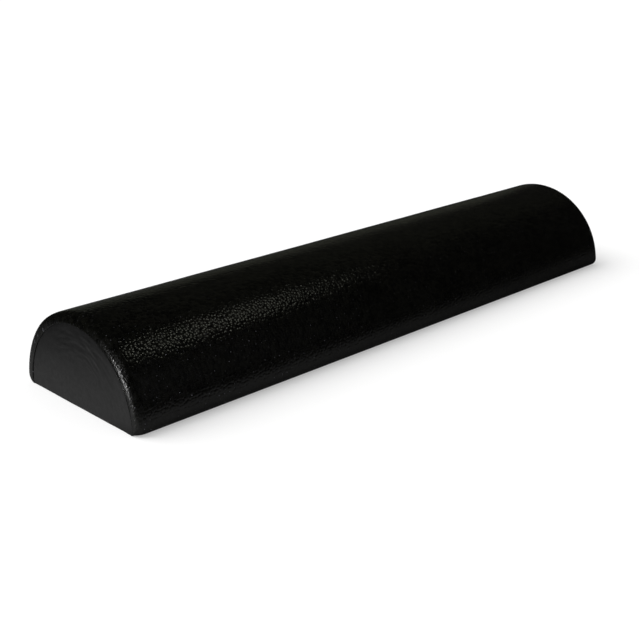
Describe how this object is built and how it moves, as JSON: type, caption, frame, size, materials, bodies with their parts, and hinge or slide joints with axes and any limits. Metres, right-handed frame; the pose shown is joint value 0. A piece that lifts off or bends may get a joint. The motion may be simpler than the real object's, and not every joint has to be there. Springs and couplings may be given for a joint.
{
  "type": "half round foam roller",
  "caption": "Half round foam roller in a pebble-grained black skin, with rolled end rims, smooth inlaid end panels and a flat base, for balance, stretching and massage on a mat.",
  "frame": {"origin": "middle of the flat base, which lies on Z = 0", "axes": "+X along the roller, +Y across it, +Z from the flat base up to the crown of the arch; the front end is at -X"},
  "size_m": [0.6, 0.1492, 0.075],
  "materials": {
    "black_foam": "matte",
    "grained_skin": "satin",
    "smooth_skin": "satin",
    "base_skin": "matte"
  },
  "bodies": {
    "root": {"foam_core": "black_foam", "grained_cover": "grained_skin", "end_panel_front": "smooth_skin", "end_panel_rear": "smooth_skin", "base_sheet": "base_skin"}
  },
  "joints": []
}
